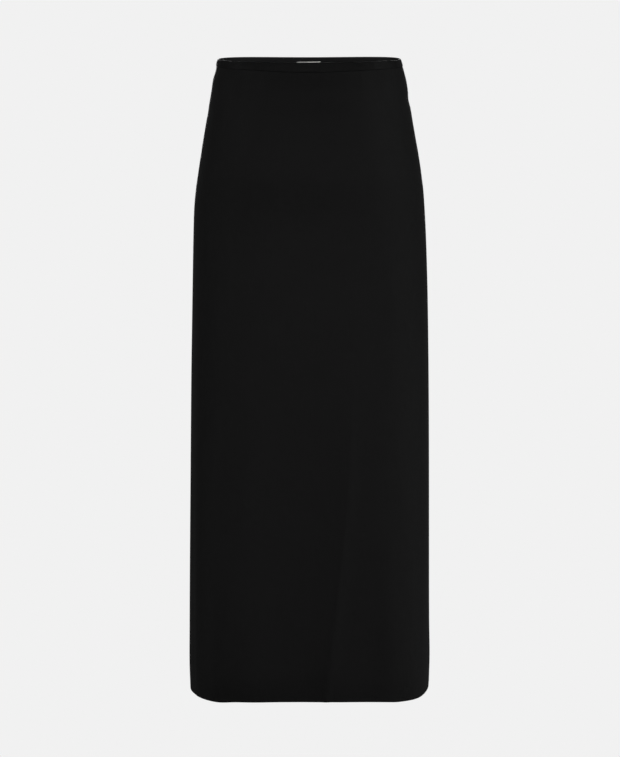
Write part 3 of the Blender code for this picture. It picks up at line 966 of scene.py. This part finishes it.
def length(name, description, default):
    return FloatProperty(name=name, description=description, default=default, unit="LENGTH", precision=5)


def share_of(name, description, default):
    return FloatProperty(name=name, description=description, default=default, subtype="FACTOR")


def colour_of(name, description, default):
    return FloatVectorProperty(name=name, description=description, default=default, subtype="COLOR")


class ClothSettings(bpy.types.PropertyGroup):
    thickness: length("Thickness", "Thickness of one layer of cloth", 0.0011)
    column_gap: length("Column gap", "Distance between columns of the cloth's mesh", 0.0026)
    row_gap: length("Row gap", "Distance between rows of the cloth's mesh", 0.0055)
    hem_depth: length("Hem depth", "How far the hem is turned up", 0.030)
    hem_thickness: length("Hem thickness", "Thickness of the folded hem", 0.0026)
    wale_width: length("Wale width", "Width of one upright rib of the knit", 0.0009)
    colour: colour_of("Colour", "Mean colour of the cloth", (0.0017, 0.0017, 0.00175))
    colour_spread: share_of("Colour spread", "How far the yarn's colour strays either way", 0.35)
    gloss: share_of("Gloss", "Specular level of the yarn", 0.10)


class SewingSettings(bpy.types.PropertyGroup):
    roll_radius: length("Roll radius", "Radius at which cloth turns into a seam", 0.0009)
    allowance_width: length("Side allowance", "Width of the side seam allowances", 0.0085)
    side_allowance_thickness: length("Side allowance thickness", "Room that both layers take", 0.0016)
    waist_allowance_depth: length("Waist allowance", "Depth of the waist seam allowance", 0.0070)
    waist_allowance_thickness: length("Waist allowance thickness", "Thickness pressed flat", 0.0007)
    overlock_width: length("Overlock width", "Width of the thread over a raw edge", 0.0050)
    overlock_spacing: length("Overlock spacing", "Distance between overlock stitches", 0.0022)
    hem_stitch_spacing: length("Hem stitch spacing", "Distance between blind hem stitches", 0.0085)
    thread_radius: length("Thread radius", "Radius of the sewing thread", 0.00016)
    seed: IntProperty(name="Seed", description="Seed of the stitches' unevenness", default=7)


class BandSettings(bpy.types.PropertyGroup):
    thickness: length("Thickness", "Thickness of the cased elastic", 0.0024)
    proud: length("Proud", "How far it stands out from the panels", 0.0005)
    lip: length("Lip", "How far its outer edge hangs over the panels", 0.00025)
    puff: length("Puff", "How far its faces swell between the edges", 0.00022)
    # The inside's colour is painted light, ten times the crepe's, for the inner face that the lamps
    # barely reach.
    inside_painted_light_colour: colour_of("Inside", "Mean colour of the brushed inside", (0.017, 0.017, 0.0175))


class LabelSettings(bpy.types.PropertyGroup):
    width: length("Width", "Width of the label", 0.0355)
    height: length("Height", "Height of the label", 0.016)
    thickness: length("Thickness", "Thickness at the turned ends", 0.0007)
    drop: length("Drop", "Distance below the top of the waistband", 0.0071)
    offset: length("Offset", "Distance from the centre of the back", 0.0010)
    slope: FloatProperty(name="Slope", description="Rise for each metre along", default=0.02)
    colour: colour_of("Colour", "Colour of the tape", (0.95, 0.935, 0.90))


class StudioSettings(bpy.types.PropertyGroup):
    paper: colour_of("Paper", "Colour of the floor and backdrop", (0.8796, 0.8796, 0.8796))
    fill: FloatProperty(name="Fill", description="Light from all round", default=0.115)
    softbox_power: share_of("Softboxes", "Power of all the softboxes, as a share of their own", 1.0)
    floor_z: length("Floor height", "Height of the floor", -1.08)
    lens: FloatProperty(name="Lens", description="Focal length in millimetres", default=132.62)
    camera_place: FloatVectorProperty(
        name="Camera",
        description="Place of the camera",
        default=(0.0015, -3.40, 0.0865),
        subtype="TRANSLATION",
    )
    camera_pitch: FloatProperty(
        name="Camera pitch",
        description="How far the camera looks down",
        default=math.radians(9.3278),
        subtype="ANGLE",
    )


class SkirtSettings(bpy.types.PropertyGroup):
    cloth: PointerProperty(type=ClothSettings)
    sewing: PointerProperty(type=SewingSettings)
    band: PointerProperty(type=BandSettings)
    label: PointerProperty(type=LabelSettings)
    studio: PointerProperty(type=StudioSettings)


# Operators.


def ride_with_skirt(piece, slot, *nodes):
    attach(piece, "root")
    if nodes:
        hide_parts(*nodes)


class SKIRT_OT_studio(bpy.types.Operator):
    """Set up the floor, backdrop, lights and camera"""

    bl_idname = "skirt.studio"
    bl_label = "Studio"

    def execute(self, context):
        scene, studio = context.scene, context.scene.skirt.studio
        paper = pale_studio()
        add_stage_piece("studio_floor", [(4.0, studio.floor_z), (0.01, studio.floor_z)], paper)
        angles = np.radians(np.linspace(88, -88, 23))
        dome = [(DOME_RADIUS * math.cos(a), DOME_RADIUS * math.sin(a)) for a in angles]
        add_stage_piece("studio_backdrop", dome, paper)
        world = bpy.data.worlds.new("soft_fill")
        world.use_nodes = True
        glow = world.node_tree.nodes["Background"]
        glow.inputs["Color"].default_value = (1.0, 1.0, 1.0, 1.0)
        glow.inputs["Strength"].default_value = studio.fill
        scene.world = world
        for name, turn, height, size, power in SOFTBOXES:
            add_softbox(name, turn, height, size, power * studio.softbox_power)
        camera = bpy.data.cameras.new("camera")
        camera.lens = studio.lens
        camera.sensor_width = 36.0
        camera.sensor_fit = "HORIZONTAL"
        eye = new_object("camera", camera)
        eye.location = studio.camera_place
        eye.rotation_euler = (math.pi / 2 - studio.camera_pitch, 0.0, 0.0)
        scene.camera = eye
        scene.view_settings.view_transform = "Standard"
        return {"FINISHED"}


class SKIRT_OT_panels(bpy.types.Operator):
    """Make the front and back panels with their turned-up hem"""

    bl_idname = "skirt.panels"
    bl_label = "Panels"

    def execute(self, context):
        for half, start in HALVES:
            ride_with_skirt(make_panel(half + "_panel_cloth", start), "skirt_cloth", half + "_panel")
        return {"FINISHED"}


class SKIRT_OT_waistband(bpy.types.Operator):
    """Make the elasticated waistband"""

    bl_idname = "skirt.waistband"
    bl_label = "Waistband"

    def execute(self, context):
        for half, start in HALVES:
            piece = make_waistband("waistband_" + half + "_cloth", start)
            ride_with_skirt(piece, "waistband_cloth", "waistband_" + half)
        return {"FINISHED"}


class SKIRT_OT_label(bpy.types.Operator):
    """Make the blank label inside the back and sew its ends"""

    bl_idname = "skirt.label"
    bl_label = "Label"

    def execute(self, context):
        ride_with_skirt(make_label("label_tape"), "label_tape", "label")
        stitches = make_stitches("label_stitches", label_stitch_paths(), *LABEL_STITCH)
        ride_with_skirt(stitches, "label_tape")
        return {"FINISHED"}


class SKIRT_OT_allowances(bpy.types.Operator):
    """Make the seam allowances inside the sides and the waist"""

    bl_idname = "skirt.allowances"
    bl_label = "Seam allowances"

    def execute(self, context):
        for side, seam, towards_back in SIDE_SEAMS:
            strip = make_side_allowance("side_allowance_" + side, seam, towards_back)
            ride_with_skirt(strip, "skirt_cloth")
        for half, start in HALVES:
            ride_with_skirt(make_waist_allowance("waist_allowance_" + half, start), "skirt_cloth")
        return {"FINISHED"}


class SKIRT_OT_thread(bpy.types.Operator):
    """Overlock the raw edges and sew the hem with blind stitches"""

    bl_idname = "skirt.thread"
    bl_label = "Overlock and hem stitches"

    def execute(self, context):
        sewing = context.scene.skirt.sewing
        overlock = (sewing.overlock_spacing, sewing.overlock_width, *OVERLOCK_ARCH_AND_TURN)
        overlock = make_stitches("overlock_threads", raw_edge_paths(), *overlock)
        ride_with_skirt(overlock, "skirt_cloth")
        hem_stitch = (sewing.hem_stitch_spacing, *HEM_STITCH)
        hem = make_stitches("hem_stitches", hem_stitch_paths(), *hem_stitch, seed_step=1)
        ride_with_skirt(hem, "skirt_cloth")
        return {"FINISHED"}


class SKIRT_PT_making(bpy.types.Panel):
    """The skirt's sizes and its making"""

    bl_idname = "SKIRT_PT_making"
    bl_label = "Skirt"
    bl_space_type = "VIEW_3D"
    bl_region_type = "UI"
    bl_category = "Skirt"

    def draw(self, context):
        settings = context.scene.skirt
        for group in (settings.cloth, settings.sewing, settings.band, settings.label, settings.studio):
            box = self.layout.box()
            for name in group.bl_rna.properties.keys():
                if name not in ("rna_type", "name"):
                    box.prop(group, name)
        for operator in OPERATORS:
            self.layout.operator(operator.bl_idname)


OPERATORS = (
    SKIRT_OT_studio,
    SKIRT_OT_panels,
    SKIRT_OT_waistband,
    SKIRT_OT_label,
    SKIRT_OT_allowances,
    SKIRT_OT_thread,
)
CLASSES = (
    ClothSettings,
    SewingSettings,
    BandSettings,
    LabelSettings,
    StudioSettings,
    SkirtSettings,
    *OPERATORS,
    SKIRT_PT_making,
)


def register():
    for kind in CLASSES:
        bpy.utils.register_class(kind)
    bpy.types.Scene.skirt = PointerProperty(type=SkirtSettings)


def unregister():
    del bpy.types.Scene.skirt
    for kind in reversed(CLASSES):
        bpy.utils.unregister_class(kind)


def main():
    register()
    for operator in OPERATORS:
        group, action = operator.bl_idname.split(".")
        getattr(getattr(bpy.ops, group), action)()


if __name__ == "__main__":
    main()
